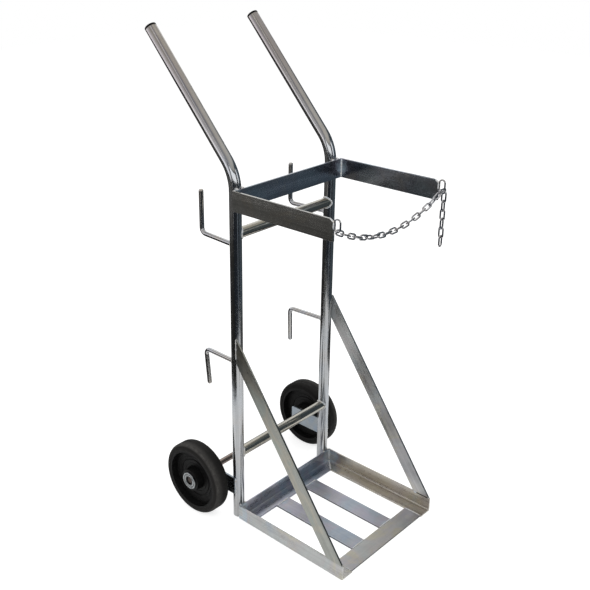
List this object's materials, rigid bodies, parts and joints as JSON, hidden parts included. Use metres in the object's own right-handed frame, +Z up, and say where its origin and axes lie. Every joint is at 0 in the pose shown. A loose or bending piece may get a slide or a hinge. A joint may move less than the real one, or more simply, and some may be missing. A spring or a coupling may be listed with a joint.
{
  "type": "gas cylinder trolley",
  "caption": "Wheeled zinc-plated steel trolley for gas cylinders, with a slatted base tray, a yoke with a safety chain, hose hooks, diagonal braces and bent-back handles.",
  "frame": {"origin": "on the floor, under the middle of the trolley's overall box", "axes": "+X along the axle to the trolley's right seen from the front, -Y to the front where the base tray and yoke reach, +Z up"},
  "size_m": [0.523, 0.656, 1.269],
  "materials": {
    "zinc_tube": "bright zinc plate, glossy",
    "zinc_flat": "bright zinc plate, satin with a faint rainbow tint",
    "zinc_rod": "bright zinc plate on drawn rod",
    "zinc_chain": "bright zinc plate on welded wire",
    "bearing_steel": "ground steel",
    "tyre_rubber": "matt black rubber",
    "wheel_plastic": "matt black plastic",
    "cap_plastic": "matt black plastic"
  },
  "bodies": {
    "frame": {"axle": "zinc_rod", "base_front_bar": "zinc_flat", "base_rear_angle": "zinc_flat", "base_slats": "zinc_flat", "left_axle_collar": "zinc_rod", "left_axle_plate": "zinc_flat", "left_base_angle": "zinc_flat", "left_bearing_inner_rings": "bearing_steel", "left_brace": "zinc_flat", "left_chain_eye": "zinc_chain", "left_distance_tube": "zinc_rod", "left_end_link": "zinc_chain", "left_handle_cap": "cap_plastic", "left_lower_hook": "zinc_rod", "left_retaining_ring": "bearing_steel", "left_upper_hook": "zinc_rod", "left_upright": "zinc_tube", "left_yoke_arm": "zinc_flat", "lower_cross_tube": "zinc_tube", "right_axle_collar": "zinc_rod", "right_axle_plate": "zinc_flat", "right_base_angle": "zinc_flat", "right_bearing_inner_rings": "bearing_steel", "right_brace": "zinc_flat", "right_chain_eye": "zinc_chain", "right_distance_tube": "zinc_rod", "right_end_link": "zinc_chain", "right_handle_cap": "cap_plastic", "right_lower_hook": "zinc_rod", "right_retaining_ring": "bearing_steel", "right_upper_hook": "zinc_rod", "right_upright": "zinc_tube", "right_yoke_arm": "zinc_flat", "upper_cross_tube": "zinc_tube", "yoke_back_bar": "zinc_flat"},
    "left_wheel": {"left_bearing_balls": "bearing_steel", "left_bearing_outer_rings": "bearing_steel", "left_hub_caps": "zinc_rod", "left_hub_sleeve": "zinc_rod", "left_tyre": "tyre_rubber", "left_wheel_centre": "wheel_plastic"},
    "right_wheel": {"right_bearing_balls": "bearing_steel", "right_bearing_outer_rings": "bearing_steel", "right_hub_caps": "zinc_rod", "right_hub_sleeve": "zinc_rod", "right_tyre": "tyre_rubber", "right_wheel_centre": "wheel_plastic"},
    "chain_sling": {"chain_sling": "zinc_chain"},
    "chain_tail": {"chain_tail": "zinc_chain"}
  },
  "joints": [
    {"name": "left_wheel_spin", "type": "hinge", "parent": "frame", "child": "left_wheel", "pos_m": [-0.2295, 0.14098, 0.1], "axis": [1, 0, 0], "continuous": true},
    {"name": "right_wheel_spin", "type": "hinge", "parent": "frame", "child": "right_wheel", "pos_m": [0.2295, 0.14098, 0.1], "axis": [1, 0, 0], "continuous": true},
    {"name": "chain_sling_swing", "type": "hinge", "parent": "frame", "child": "chain_sling", "pos_m": [-0.17925, -0.28252, 0.8835], "axis": [0.9999, 0, 0.0173], "range_deg": [-18, 18]},
    {"name": "chain_tail_swing", "type": "hinge", "parent": "frame", "child": "chain_tail", "pos_m": [0.2085, -0.28252, 0.8858], "axis": [1, 0, 0], "range_deg": [-45, 45]}
  ]
}
